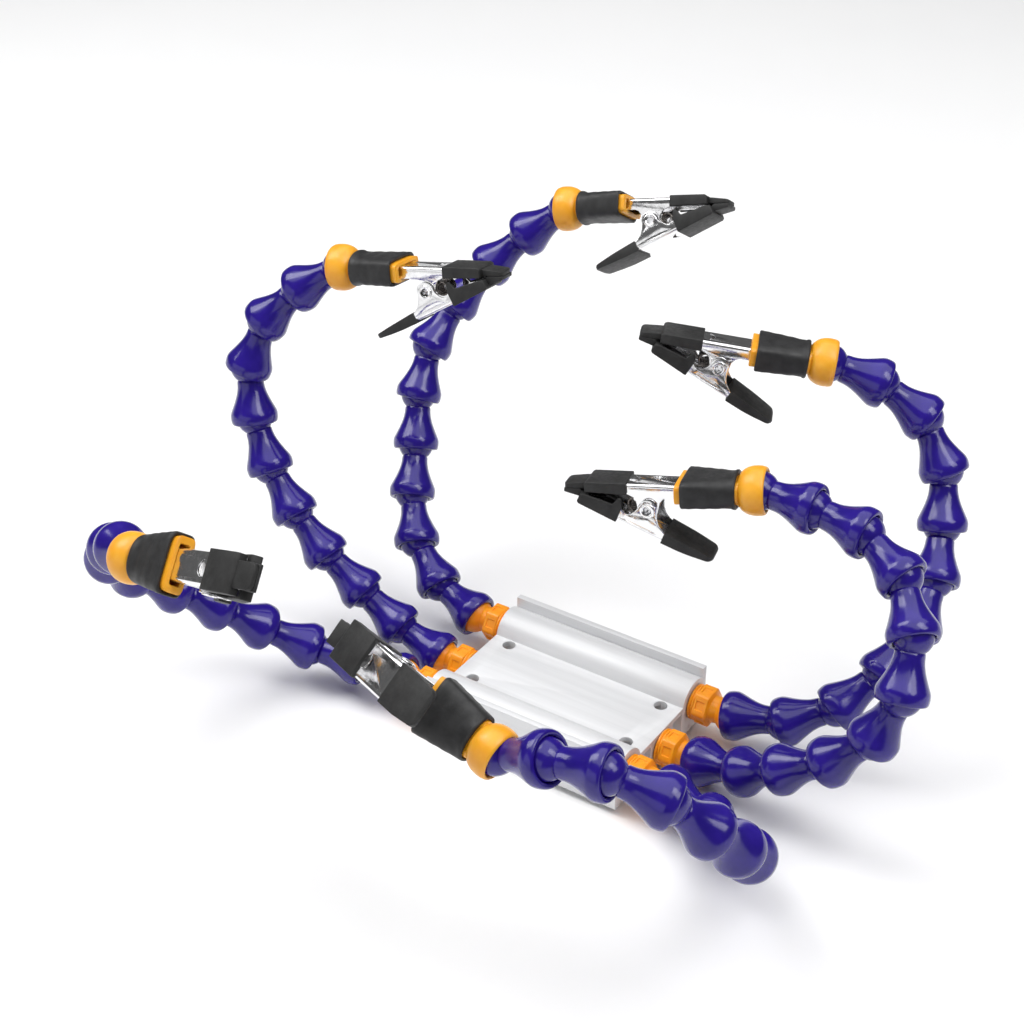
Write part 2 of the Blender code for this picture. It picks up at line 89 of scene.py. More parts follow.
# Each arm: side of the base, row, way points from the centre of its first ball, the clip's direction, and the
# way the clip's back faces.
ARMS = {
    "left_back": (-1, 1, [(-30, 8, 14), (-46, 30, 40), (-52, 47, 69), (-42, 69, 94), (-20, 82, 117)],
                  (0.96, 0.19, 0.20), (-0.27, 0.50, 0.82)),
    "left_middle": (-1, 0, [(-28, 0, 12), (-56, -1, 33), (-78, 4, 58), (-86, 12, 90), (-66, 23, 116)],
                    (0.97, 0.17, 0.16), (-0.19, 0.17, 0.97)),
    "left_front": (-1, -1, [(-38, -6, 2), (-60, -30, 26), (-70, -57, 52), (-50, -74, 76), (-24, -91, 89)],
                   (0.92, -0.17, 0.34), (0.42, -0.63, 0.67)),
    "right_back": (1, 1, [(32, 8, 12), (47, 31, 35), (42, 57, 55), (31, 69, 84), (2, 62, 102)],
                   (-0.91, -0.40, 0.10), (0.04, 0.15, 0.99)),
    "right_middle": (1, 0, [(31, -7, 16), (58, -5, 38), (65, 2, 65), (50, 20, 84), (22, 26, 90)],
                     (-0.95, -0.30, -0.12), (-0.13, 0.14, 0.98)),
    "right_front": (1, -1, [(31, -14, 3), (47, -37, 24), (48, -60, 49), (30, -76, 71), (-3, -79, 67)],
                    (-0.97, 0.12, 0.20), (-0.46, 0.70, -0.54)),
}

# Profiles turned about an axis: (distance along it, radius)
BALL_R = 6.35
SOCKET_HOLLOW = ((6.5, 0.0), (6.1, 2.4), (5.0, 4.2), (3.4, 5.6), (1.6, 6.35), (0.0, 6.55), (-1.6, 6.35))
SOCKET_OUTSIDE = (
    (-1.85, 6.55), (-2.0, 6.85), (-2.0, 7.35), (-1.85, 7.7), (-1.5, 7.95), (-0.8, 8.12), (0.2, 8.2),
    (1.2, 8.18), (1.9, 8.02), (2.6, 7.74), (3.6, 7.28), (4.8, 6.72), (6.0, 6.2), (7.2, 5.72), (8.4, 5.3),
    (9.6, 4.98), (10.6, 4.78), (11.6, 4.67), (12.6, 4.62), (13.1, 4.55), (13.35, 4.4),
)
DOME_HOLLOW = ((6.3, 0.0), (5.9, 2.4), (4.9, 4.2), (3.4, 5.6), (1.6, 6.35), (0, 6.55), (-1.7, 6.33))
DOME_OUTSIDE = (
    (-2.05, 6.5), (-2.3, 6.8), (-2.3, 7.05), (-2.1, 7.35), (-1.6, 7.6), (-0.8, 7.78), (0.4, 7.85),
    (1.6, 7.8), (2.7, 7.6), (3.7, 7.25), (4.6, 6.75), (5.3, 6.15), (5.8, 5.6),
)
FLANGE = (
    (0.0, 4.0), (0.15, 5.9), (0.3, 6.15), (0.7, 6.2), (0.95, 6.0), (1.1, 5.75), (1.25, 6.0), (1.45, 6.2),
    (1.85, 6.15), (2.0, 5.9),
)
WAIST = ((7.45, 5.1), (7.7, 4.75), (8.2, 4.6), (9.0, 4.55), (9.5, 4.45))
HEX_Z = (2.15, 2.45, 3.1, 3.25, 5.95, 6.1, 6.9, 7.25)
RECESS_Z = (3.2, 6.0)
RECESS_HALF_W = 1.5
RECESS_DEPTH = 0.35
HEX_AF = 12.0

# Nozzle tube and sleeve, in the clip's frame
TUBE_ROOT = (6.4, 6.0, 3.9)
TUBE_MOUTH = (8.3, 3.3)
TUBE_END = 25.3
SLOT = (6.0, 1.9)
SLEEVE = (6.9, 23.3)
SLEEVE_OUT = 1.25


# Directions and frames

def unit(vector):
    vector = np.asarray(vector, float)
    return vector / np.linalg.norm(vector)


def square_to(vector, axis):
    return unit(np.asarray(vector, float) - np.dot(vector, axis) * axis)


def first_ball(side, row):
    z = OUTER_Z if row else MIDDLE_Z
    return np.array([side * (BASE_L / 2 + BALL_OUT), row * OUTER_Y, z])


def arm_curve(start, offsets, heading, steps=30):
    points = np.array([start] + [start + np.array(o, float) for o in offsets])
    chords = np.linalg.norm(np.diff(points, axis=0), axis=1)
    slopes = [np.array(heading, float)]
    for i in range(1, len(points) - 1):
        before = (points[i] - points[i - 1]) / chords[i - 1]
        after = (points[i + 1] - points[i]) / chords[i]
        slopes.append((before * chords[i] + after * chords[i - 1]) / (chords[i] + chords[i - 1]))
    slopes.append(unit(2 * (points[-1] - points[-2]) / chords[-1] - slopes[-1]))
    curve = []
    for i, chord in enumerate(chords):
        for s in np.linspace(0, 1, steps, endpoint=False):
            near = (2 * s**3 - 3 * s**2 + 1) * points[i] + (s**3 - 2 * s**2 + s) * chord * slopes[i]
            far = (3 * s**2 - 2 * s**3) * points[i + 1] + (s**3 - s**2) * chord * slopes[i + 1]
            curve.append(near + far)
    curve.append(points[-1])
    curve.append(points[-1] + slopes[-1] * 5 * PITCH)
    return curve


def ball_centres(curve):
    centres = [curve[0]]
    j = 0
    for _ in range(SEGMENTS):
        here = centres[-1]
        while j + 1 < len(curve) - 1 and np.linalg.norm(curve[j + 1] - here) < PITCH:
            j += 1
        step = curve[j + 1] - curve[j]
        back = curve[j] - here
        a = step @ step
        b = 2 * back @ step
        c = back @ back - PITCH**2
        centres.append(curve[j] + step * (-b + math.sqrt(b * b - 4 * a * c)) / (2 * a))
    return centres


def frame_along(direction):
    """(right, up, along) axes with the third one along direction."""
    right = square_to((0, 0, 1), direction)
    return right, np.cross(direction, right), direction


def clip_frame(direction, back):
    x = unit(direction)
    z = square_to(back, x)
    return x, np.cross(z, x), z


# Meshes

def new_mesh(name, points, faces):
    mesh = bpy.data.meshes.new(name)
    mesh.from_pydata([tuple(MM * float(v) for v in p) for p in points], [], faces)
    build = bmesh.new()
    build.from_mesh(mesh)
    bmesh.ops.recalc_face_normals(build, faces=build.faces)
    build.to_mesh(mesh)
    build.free()
    return mesh


def smooth(mesh, angle):
    mesh.shade_smooth()
    mesh.set_sharp_from_angle(angle=math.radians(angle))
    return mesh


def loft(rings, closed=False):
    """Points and faces of a skin over rings of equal counts. A ring of one point is a pole."""
    points = [p for one in rings for p in one]
    starts = np.cumsum([0] + [len(one) for one in rings])
    pairs = list(zip(rings, rings[1:], starts, starts[1:]))
    if closed:
        pairs.append((rings[-1], rings[0], starts[-2], 0))
    faces = []
    for a, b, first, second in pairs:
        count = max(len(a), len(b))
        for i in range(count):
            j = (i + 1) % count
            if len(a) == 1:
                faces.append((first, second + i, second + j))
            elif len(b) == 1:
                faces.append((first + i, second, first + j))
            else:
                faces.append((first + i, second + i, second + j, first + j))
    if not closed and len(rings[0]) > 1:
        faces.append(tuple(range(len(rings[0]))))
    if not closed and len(rings[-1]) > 1:
        faces.append(tuple(int(starts[-2]) + i for i in range(len(rings[-1]))))
    return points, [tuple(int(v) for v in face) for face in faces]


def round_rings(profile, axis="z", sides=48, angles=None):
    """Rings of a profile turned about the local z or x axis."""
    angles = angles or [2 * math.pi * k / sides for k in range(sides)]
    rings = []
    for t, radius in profile:
        turned = [(radius * math.cos(a), radius * math.sin(a)) for a in angles] if radius else [(0.0, 0.0)]
        rings.append([(u, v, t) if axis == "z" else (t, u, v) for u, v in turned])
    return rings


def ball_profile(centre, neck, steps=12, end=2.6):
    """From where a neck of this radius meets the ball, over it to the flat at its far end."""
    start = math.asin(neck / BALL_R)
    stop = math.pi - math.asin(end / BALL_R)
    angles = [start + (stop - start) * k / steps for k in range(steps + 1)]
    return [(centre - BALL_R * math.cos(a), BALL_R * math.sin(a)) for a in angles]


def prism(outline, low, high, axis="y"):
    """An outline pushed along an axis. It is (x, z) for y, (y, z) for x and (x, y) for z."""
    order = {"y": (0, 2, 1), "x": (2, 0, 1), "z": (0, 1, 2)}[axis]
    count = len(outline)
    flat = [(*p, low) for p in outline] + [(*p, high) for p in outline]
    points = [tuple(p[i] for i in order) for p in flat]
    faces = [tuple(range(count)), tuple(range(count, 2 * count))]
    for i in range(count):
        j = (i + 1) % count
        faces.append((i, j, count + j, count + i))
    return points, faces


def circle(centre, radius, sides=40, start=0.0, end=360.0):
    full = end - start == 360.0
    steps = sides if full else sides + 1
    angles = [math.radians(start + (end - start) * k / sides) for k in range(steps)]
    return [(centre[0] + radius * math.cos(a), centre[1] + radius * math.sin(a)) for a in angles]


def carve(first, steps, bevel=0.0, segments=2, angle=32):
    """The mesh left after Booleans in turn, its sharp edges then rounded."""
    body = bpy.data.objects.new("body", new_mesh("body", *first))
    bpy.context.scene.collection.objects.link(body)
    tools = []
    for operation, solid in steps:
        tool = bpy.data.objects.new("tool", new_mesh("tool", *solid))
        bpy.context.scene.collection.objects.link(tool)
        change = body.modifiers.new(operation, "BOOLEAN")
        change.operation = operation
        change.solver = "EXACT"
        change.object = tool
        tools.append(tool)
    bpy.context.view_layer.update()
    result = bpy.data.meshes.new_from_object(body.evaluated_get(bpy.context.evaluated_depsgraph_get()))
    for used in [body] + tools:
        bpy.data.objects.remove(used, do_unlink=True)
    return rounded(result, bevel, segments, angle)


def rounded(mesh, bevel, segments=2, angle=32):
    build = bmesh.new()
    build.from_mesh(mesh)
    bmesh.ops.remove_doubles(build, verts=build.verts, dist=2e-6)
    bmesh.ops.dissolve_limit(build, angle_limit=math.radians(1), verts=build.verts, edges=build.edges)
    sharp = [e for e in build.edges if e.is_manifold and e.calc_face_angle(0) > math.radians(angle)]
    if bevel:
        bmesh.ops.bevel(build, geom=sharp, offset=bevel * MM, segments=segments, profile=0.5,
                        affect="EDGES", clamp_overlap=True)
    bmesh.ops.recalc_face_normals(build, faces=build.faces)
    build.to_mesh(mesh)
    build.free()
    return smooth(mesh, angle)


def tube(path, radius, sides=10):
    """A wire along a path of points."""
    path = [np.asarray(p, float) for p in path]
    rings = []
    right = None
    for i, point in enumerate(path):
        along = unit(path[min(i + 1, len(path) - 1)] - path[max(i - 1, 0)])
        right = square_to((0.31, 0.87, 0.38) if right is None else right, along)
        up = np.cross(along, right)
        rings.append([point + radius * (math.cos(a) * right + math.sin(a) * up)
                      for a in (2 * math.pi * k / sides for k in range(sides))])
    return loft(rings)


# Materials

class Finish:
    """A Principled material whose colour, roughness and bump come from noise in the piece's own space."""

    def __init__(self, name, **values):
        self.name = name
        self.material = bpy.data.materials.new(name)
        self.material.use_nodes = True
        self.nodes = self.material.node_tree.nodes
        self.links = self.material.node_tree.links
        self.shader = self.nodes["Principled BSDF"]
        for label, value in values.items():
            self.shader.inputs[label.replace("_", " ")].default_value = value
        self.height = None
        self.where = self.nodes.new("ShaderNodeTexCoord").outputs["Object"]

    def noise(self, scale, stretch=(1, 1, 1), detail=3.0):
        placed = self.nodes.new("ShaderNodeMapping")
        placed.inputs["Scale"].default_value = stretch
        self.links.new(self.where, placed.inputs["Vector"])
        made = self.nodes.new("ShaderNodeTexNoise")
        made.inputs["Scale"].default_value = scale
        made.inputs["Detail"].default_value = detail
        self.links.new(placed.outputs["Vector"], made.inputs["Vector"])
        return made.outputs["Fac"]

    def ramp(self, value, low, high, start=0.3, end=0.7):
        made = self.nodes.new("ShaderNodeValToRGB")
        for element, at, rgb in zip(made.color_ramp.elements, (start, end), (low, high)):
            element.position = at
            element.color = (*rgb, 1.0)
        self.links.new(value, made.inputs["Fac"])
        return made.outputs["Color"]

    def colour(self, value, low, high, **where):
        self.links.new(self.ramp(value, low, high, **where), self.shader.inputs["Base Color"])
        return self

    def roughness(self, value, low, high):
        made = self.nodes.new("ShaderNodeMapRange")
        made.inputs["From Min"].default_value = 0.3
        made.inputs["From Max"].default_value = 0.7
        made.inputs["To Min"].default_value = low
        made.inputs["To Max"].default_value = high
        self.links.new(value, made.inputs["Value"])
        self.links.new(made.outputs["Result"], self.shader.inputs["Roughness"])
        return self

    def bump(self, value, strength, distance):
        made = self.nodes.new("ShaderNodeBump")
        made.inputs["Strength"].default_value = strength
        made.inputs["Distance"].default_value = distance * MM
        self.links.new(value, made.inputs["Height"])
        if self.height is not None:
            self.links.new(self.height, made.inputs["Normal"])
        self.height = made.outputs["Normal"]
        self.links.new(self.height, self.shader.inputs["Normal"])
        return self


def finishes():
    blue = Finish("blue_plastic")
    blue.colour(blue.noise(140), (0.013, 0.005, 0.165), (0.021, 0.008, 0.225))
    blue.roughness(blue.noise(700), 0.13, 0.22)
    blue.bump(blue.noise(260, detail=2), 0.08, 0.2)
    orange = Finish("orange_plastic", Subsurface_Weight=0.12, Subsurface_Scale=0.002)
    orange.colour(orange.noise(180), (0.88, 0.27, 0.006), (0.95, 0.37, 0.014))
    orange.roughness(orange.noise(600), 0.28, 0.42)
    orange.bump(orange.noise(420), 0.15, 0.2)
    yellow = Finish("yellow_plastic", Subsurface_Weight=0.10, Subsurface_Scale=0.002)
    yellow.colour(yellow.noise(160), (0.80, 0.33, 0.012), (0.88, 0.42, 0.028))
    yellow.roughness(yellow.noise(600), 0.30, 0.42)
    yellow.bump(yellow.noise(380), 0.18, 0.25)
    sleeve = Finish("black_sleeve", Specular_IOR_Level=0.4)
    sleeve.colour(sleeve.noise(300), (0.012, 0.012, 0.0125), (0.024, 0.024, 0.025))
    sleeve.roughness(sleeve.noise(500), 0.42, 0.58)
    sleeve.bump(sleeve.noise(1500), 0.25, 0.12)
    sleeve.bump(sleeve.noise(90, (1, 0.25, 0.25)), 0.35, 0.6)
    cover = Finish("black_cover", Specular_IOR_Level=0.35)
    cover.colour(cover.noise(240), (0.014, 0.014, 0.014), (0.027, 0.027, 0.027))
    cover.roughness(cover.noise(800), 0.45, 0.62)
    cover.bump(cover.noise(1300), 0.3, 0.10)
    steel = Finish("bright_steel", Metallic=1.0)
    steel.colour(steel.noise(500), (0.84, 0.84, 0.85), (0.94, 0.94, 0.95))
    steel.roughness(steel.noise(900), 0.08, 0.20)
    steel.bump(steel.noise(420, (1, 0.6, 1)), 0.14, 0.3)
    wire = Finish("spring_wire", Metallic=1.0)
    wire.colour(wire.noise(800), (0.16, 0.14, 0.13), (0.34, 0.32, 0.30))
    wire.roughness(wire.noise(1200), 0.22, 0.35)
    wire.bump(wire.noise(2500), 0.1, 0.05)
    metal = Finish("satin_aluminium", Metallic=0.2)
    metal.colour(metal.noise(14, (1, 30, 30)), (0.69, 0.695, 0.705), (0.75, 0.755, 0.765))
    metal.roughness(metal.noise(22, (1, 60, 60)), 0.44, 0.56)
    metal.bump(metal.noise(9, (1, 160, 160)), 0.2, 0.05)
    metal.bump(metal.noise(1800), 0.2, 0.04)
    rubber = Finish("foot_rubber")
    rubber.colour(rubber.noise(300), (0.016, 0.016, 0.016), (0.034, 0.034, 0.034))
    rubber.roughness(rubber.noise(600), 0.6, 0.8)
    rubber.bump(rubber.noise(1400), 0.3, 0.1)
    made = (blue, orange, yellow, sleeve, cover, steel, wire, metal, rubber)
    return {finish.name: finish.material for finish in made}


# Base

def base_outline():
    steps = 20
    start = math.pi - math.asin((PLATE_TOP - OUTER_Z) / SHOULDER_R)
    rail_y = BASE_W / 2 - RAIL_T
    end = math.acos((rail_y - OUTER_Y) / SHOULDER_R)
    half = []
    for k in range(steps + 1):
        angle = start + (end - start) * k / steps
        half.append((OUTER_Y + SHOULDER_R * math.cos(angle), OUTER_Z + SHOULDER_R * math.sin(angle)))
    half += [(rail_y, RAIL_TOP), (BASE_W / 2, RAIL_TOP), (BASE_W / 2, 0.0)]
    return half + [(-y, z) for y, z in reversed(half)]


def base_mesh():
    half = BASE_L / 2
    past = half + 1.0
    steps = []
    for side in (-1, 1):
        inner = side * (BOSS_R + CHAMBER_GAP)
        outer = side * (OUTER_Y - SHOULDER_R - CHAMBER_GAP / 2)
        low = WALL
        high = PLATE_TOP - WALL
        chamber = [(inner, low), (outer, low), (outer, high), (inner, high)]
        steps.append(("DIFFERENCE", prism(chamber, -past, past, "x")))
        for row in (-1, 0, 1):
            centre = (row * OUTER_Y, OUTER_Z if row else MIDDLE_Z)
            ends = sorted((side * (half - BORE_DEPTH), side * past))
            steps.append(("DIFFERENCE", prism(circle(centre, BORE_R), *ends, "x")))
        for end in (-1, 1):
            centre = (end * HOLE_X / 2, side * HOLE_Y / 2)
            hole = prism(circle(centre, HOLE_D / 2), PLATE_TOP - 2 * WALL, PLATE_TOP + 1, "z")
            steps.append(("DIFFERENCE", hole))
    return carve(prism(base_outline(), -half, half, "x"), steps, 0.22, 2, 28)


def foot_mesh():
    profile = ((-0.2, 0.0), (-0.2, FOOT_R - 0.2), (-0.5, FOOT_R), (-1.9, FOOT_R), (-2.35, FOOT_R - 0.25),
               (-FOOT_H, FOOT_R - 0.8), (-FOOT_H, FOOT_R - 2.2), (-FOOT_H + 0.4, FOOT_R - 2.6),
               (-FOOT_H + 0.4, 0.0))
    return smooth(new_mesh("foot", *loft(round_rings(profile))), 30)


# Hose

def segment_mesh():
    profile = list(SOCKET_HOLLOW) + list(SOCKET_OUTSIDE) + ball_profile(PITCH, 4.35)
    return smooth(new_mesh("segment", *loft(round_rings(profile, sides=64))), 40)


def hex_angles():
    marks = (-3.30, -2.9, -2.2, -RECESS_HALF_W - 0.08, -RECESS_HALF_W + 0.08, -0.7, 0.0)
    across = list(marks) + [-v for v in reversed(marks[:-1])]
    turns = [math.pi / 3 * k + math.atan2(v, HEX_AF / 2) for k in range(6) for v in across]
    return turns


def hex_ring(z, grow, recessed):
    """A ring round the hexagon with eased corners, its flats sunk where the square marks are."""
    points = []
    for angle in hex_angles():
        local = (angle + math.pi / 6) % (math.pi / 3) - math.pi / 6
        radius = HEX_AF / 2 / math.cos(local)
        across = HEX_AF / 2 * math.tan(local)
        radius = min(radius, 6.72) + grow
        if recessed and abs(across) < RECESS_HALF_W:
            radius -= RECESS_DEPTH
        points.append((radius * math.cos(angle), radius * math.sin(angle), z))
    return points


def connector_mesh():
    """The fitting, its z axis out of the base and its origin at its ball's centre."""
    face = -BALL_OUT
    angles = hex_angles()
    stub = [(face - 10.0, 0.0), (face - 10.0, 3.9), (face - 9.6, 4.2), (face + 0.2, 4.2)]
    rings = round_rings(stub, angles=angles)
    rings += round_rings([(face + 0.25 + z, r) for z, r in FLANGE[1:]], angles=angles)
    for z in HEX_Z:
        grow = {HEX_Z[0]: -0.35, HEX_Z[-1]: -0.45}.get(z, 0.0)
        rings.append(hex_ring(face + z, grow, RECESS_Z[0] < z < RECESS_Z[1]))
    rings += round_rings([(face + z, r) for z, r in WAIST], angles=angles)
    rings += round_rings(ball_profile(0.0, 4.4), angles=angles)
    return smooth(new_mesh("connector", *loft(rings)), 26)


# Nozzle, sleeve and clip, in the clip's frame

def box_ring(x, half_w, half_t, square, sides=56):
    """A rounded rectangle across x: square is 2 for an ellipse, more for squarer corners."""
    points = []
    for k in range(sides):
        angle = 2 * math.pi * (k + 0.5) / sides
        c = math.cos(angle)
        s = math.sin(angle)
        y = half_w * math.copysign(abs(c) ** (2 / square), c)
        z = half_t * math.copysign(abs(s) ** (2 / square), s)
        points.append((x, y, z))
    return points


def tube_size(x):
    start, half_w, half_t = TUBE_ROOT
    share = (x - start) / (TUBE_END - start)
    return half_w + share * (TUBE_MOUTH[0] - half_w), half_t + share * (TUBE_MOUTH[1] - half_t)


def nozzle_mesh():
    rings = round_rings(DOME_HOLLOW, "x", 56)
    rings += round_rings(DOME_OUTSIDE, "x", 56)
    rings.append(box_ring(6.1, 5.9, 4.4, 2.6))
    rings.append(box_ring(6.6, *tube_size(6.6), 3))
    for x in (12.0, 18.0, 23.0, TUBE_END - 0.6, TUBE_END - 0.2):
        rings.append(box_ring(x, *tube_size(x), 3 + 3 * (x - 6.6) / 18))
    half_w, half_t = tube_size(TUBE_END)
    rings.append(box_ring(TUBE_END, half_w - 0.35, half_t - 0.35, 6))
    rings.append(box_ring(TUBE_END, SLOT[0] + 0.25, SLOT[1] + 0.25, 8))
    rings.append(box_ring(TUBE_END - 0.3, *SLOT, 8))
    rings.append(box_ring(TUBE_END - 9.6, *SLOT, 8))
    return smooth(new_mesh("nozzle", *loft(rings)), 38)


def sleeve_mesh():
    start, end = SLEEVE
    rings = []
    cuff = ((0.1, 0.15, 0.2), (-0.35, 0.6, 1.1), (-0.35, 0.95, 1.6), (0.0, 1.25, 1.95), (0.6, 1.3, 1.95),
            (1.2, 1.3, 1.6))
    for t, out_w, out_t in cuff:
        half_w, half_t = tube_size(start + t)
        rings.append(box_ring(start + t, half_w + out_w, half_t + out_t, 2.4))
    for k in range(2, 14):
        x = start + 0.35 + (end - start - 0.8) * k / 14
        half_w, half_t = tube_size(x)
        out = SLEEVE_OUT + 0.06 * math.sin(1.7 * k)
        rings.append(box_ring(x, half_w + out, half_t + out, 2.6 + 2.6 * k / 14))
    for x, out in ((end - 0.4, SLEEVE_OUT), (end, 0.95), (end, 0.4), (end - 0.3, 0.15)):
        half_w, half_t = tube_size(x)
        rings.append(box_ring(x, half_w + out, half_t + out, 5.4))
    return smooth(new_mesh("sleeve", *loft(rings, closed=True)), 50)


def channel_section(back, half_w, thick, corner, deep):
    """A U section in (y, z): a back at z = back with rounded bends and walls down to deep."""
    outer = circle((half_w - corner, back - corner), corner, 8, 0, 90)
    outer += circle((corner - half_w, back - corner), corner, 8, 90, 180)
    inside = corner - thick
    inner = circle((corner - half_w, back - corner), inside, 8, 180, 90)
    inner += circle((half_w - corner, back - corner), inside, 8, 90, 0)
    ends = [(-half_w, deep), (thick - half_w, deep)]
    return [(half_w, deep)] + outer + ends + inner + [(half_w - thick, deep)]


def crescent(at, bow, low, high, width=1.3, half=2.5):
    """A crescent slot across a back plate, its ends at x = at and bowed by bow."""
    spread = np.linspace(-half, half, 11)
    turn = math.copysign(1.0, bow)
    inner = [(at + bow * (1 - (v / half) ** 2), v) for v in spread]
    reach = bow + turn * (width - CRESCENT_TIP)
    outer = [(at + turn * CRESCENT_TIP + reach * (1 - (v / half) ** 2), v) for v in reversed(spread)]
    return prism(inner + outer, low, high, "z")


def fixed_steel_mesh():
    back = FIXED_BACK
    outline = [(16.0, back + 1), (16.0, -2.0), (28.2, -2.0), (29.4, -2.5), (30.6, -3.9)]
    outline += circle(RIVET, EAR_R, 20, 188, 352)
    outline += [(38.0, -3.6), (38.8, -2.2), (41.5, -0.95), (53.5, -0.7), (53.5, back + 1)]
    far = FIXED_HALF_W + 1
    steps = [
        ("INTERSECT", prism(outline, -far, far)),
        ("DIFFERENCE", prism(circle(RIVET, RIVET_HOLE_R, 32), -far, far)),
        ("DIFFERENCE", crescent(39.2, -0.9, 0.5, 3.0)),
    ]
    section = channel_section(back, FIXED_HALF_W, SHEET_T, BEND_R, -11.0)
    return carve(prism(section, 16.0, 53.5, "x"), steps, 0.1, 2, 30)


def fixed_cover_mesh():
    outer = FIXED_COVER_HALF_W
    inner = FIXED_HALF_W - SHEET_T + COVER_OVERLAP
    cover = [(40.9, 2.5), (40.9, -1.4), (54.4, -0.95), (54.4, 1.9), (53.4, 2.45)]
    hollow = [(40, 1.3), (40, -4), (53.2, -4), (53.2, 1.3)]
    nose = [(53.8, 1.7), (53.8, -0.47), (61.5, -0.47), (61.5, 0.8), (60.8, 1.0), (55.6, 1.6)]
    edge = NOSE_HALF_W
    plan = [(53.0, -edge), (60.4, -edge), (61.2, 0.6 - edge), (61.5, 1.6 - edge),
            (61.5, edge - 1.6), (61.2, edge - 0.6), (60.4, edge), (53.0, edge)]
    tip = carve(prism(nose, -edge - 1, edge + 1), [("INTERSECT", prism(plan, -5, 5, "z"))], 0.25, 3)
    body = carve(prism(cover, -outer, outer), [("DIFFERENCE", prism(hollow, -inner, inner))], 0.35, 3)
    return joined([body, tip])


def joined(meshes):
    build = bmesh.new()
    for mesh in meshes:
        build.from_mesh(mesh)
    made = bpy.data.meshes.new("joined")
    build.to_mesh(made)
    build.free()
    return made


def moving_point(s, n):
    c = math.cos(math.radians(JAW_ANGLE))
    d = math.sin(math.radians(JAW_ANGLE))
    return MOVING_ORIGIN[0] - c * s + d * n, MOVING_ORIGIN[1] - d * s - c * n


def turned(solid):
    """Points drawn as (s, y, n) moved to the clip's (x, y, z), measured from the rivet."""
    points, faces = solid
    moved = []
    for s, y, n in points:
        x, z = moving_point(s, n)
        moved.append((x - RIVET[0], y, z - RIVET[1]))
    return moved, faces


def rivet_in_moving():
    c = math.cos(math.radians(JAW_ANGLE))
    d = math.sin(math.radians(JAW_ANGLE))
    dx = RIVET[0] - MOVING_ORIGIN[0]
    dz = RIVET[1] - MOVING_ORIGIN[1]
    return -(c * dx + d * dz), d * dx - c * dz


def moving_steel_mesh():
    pivot = rivet_in_moving()
    half_w = MOVING_HALF_W
    back = MOVING_BACK
    far = half_w + 1
    outline = [(2, back + 1), (2, 1.0), (11.8, -0.9), (12.8, -3.6), (13.4, -3.6), (14.6, -1.2), (15.6, -0.6),
               (16.6, -0.3), (17.5, -0.6), (18.4, -1.6), (19.1, -3.0)]
    outline += circle(pivot, EAR_R, 22, 170, 335)
    outline += [(25.6, -4.6), (26.2, -3.0), (27.4, -1.4), (29.2, -0.2), (31.0, 0.4), (33.0, 0.5),
                (33.0, back + 1)]
    press = [(16.6, 1.5), (18.6, 0.85), (21.5, 0.6), (24.5, 0.75), (27.4, 1.35), (24.5, 1.75), (19.5, 1.85)]
    section = channel_section(back, half_w, SHEET_T, BEND_R, -10.0)
    steps = [
        ("INTERSECT", turned(prism(outline, -far, far))),
        ("DIFFERENCE", turned(prism(circle(pivot, RIVET_HOLE_R, 32), -far, far))),
        ("DIFFERENCE", turned(crescent(16.4, 0.9, 1.5, 4.5))),
        ("DIFFERENCE", turned(prism(press, half_w - PRESS_DEPTH, far))),
        ("DIFFERENCE", turned(prism(press, -far, PRESS_DEPTH - half_w))),
    ]
    return carve(turned(prism(section, 2.0, 33.0, "x")), steps, 0.1, 2, 30)


def moving_cover_mesh():
    outer = MOVING_COVER_HALF_W
    side = [(1.0, 0.2), (0.9, 2.9), (1.6, 3.45), (14.8, 3.7), (14.8, -1.4), (13.6, -4.2), (12.6, -4.2),
            (11.6, -1.4), (2.6, -0.35)]
    hollow = [(3.2, 2.3), (3.2, -8), (16, -8), (16, 2.3)]
    inner = MOVING_HALF_W - SHEET_T + COVER_OVERLAP
    low = -0.53
    nose = [(61.5, low), (61.5, low - 1.2), (60.8, low - 1.45), (57.0, -3.0), (54.4, -3.9), (54.6, -2.4),
            (56.2, low)]
    nose = [(x - RIVET[0], z - RIVET[1]) for x, z in nose]
    tip = rounded(new_mesh("nose", *prism(nose, -NOSE_HALF_W, NOSE_HALF_W)), 0.25, 3)
    steps = [("DIFFERENCE", turned(prism(hollow, -inner, inner)))]
    return joined([carve(turned(prism(side, -outer, outer)), steps, 0.35, 3), tip])


def handle_mesh():
    grip = MOVING_COVER_HALF_W
    side = [(30.2, 3.45), (36, 3.4), (41, 3.1), (46.2, 2.6), (47.3, 2.1), (47.2, 1.4), (46.4, 1.0), (40, 0.4),
            (30.2, -0.3)]
    plan = [(29, -grip), (38.0, -grip)]
    plan += circle((44.4, 3.4 - grip), 2.9, 10, 290, 360) + circle((44.4, grip - 3.4), 2.9, 10, 0, 70)
    plan += [(38.0, grip), (29, grip)]
    body = turned(prism(side, -grip - 1, grip + 1))
    return carve(body, [("INTERSECT", turned(prism(plan, -6, 8, "z")))], 0.4, 3, 25)


def rivet_mesh():
    """A hollow rivet with a rolled head at each end."""
    reach = MOVING_HALF_W + 0.02
    profile = [(out - reach, radius) for out, radius in RIVET_HEAD]
    outside = profile[::-1] + [(-y, r) for y, r in profile]
    points, faces = loft(round_rings(outside, "x", 32), closed=True)
    return smooth(new_mesh("rivet", [(z, x, y) for x, y, z in points], faces), 45)


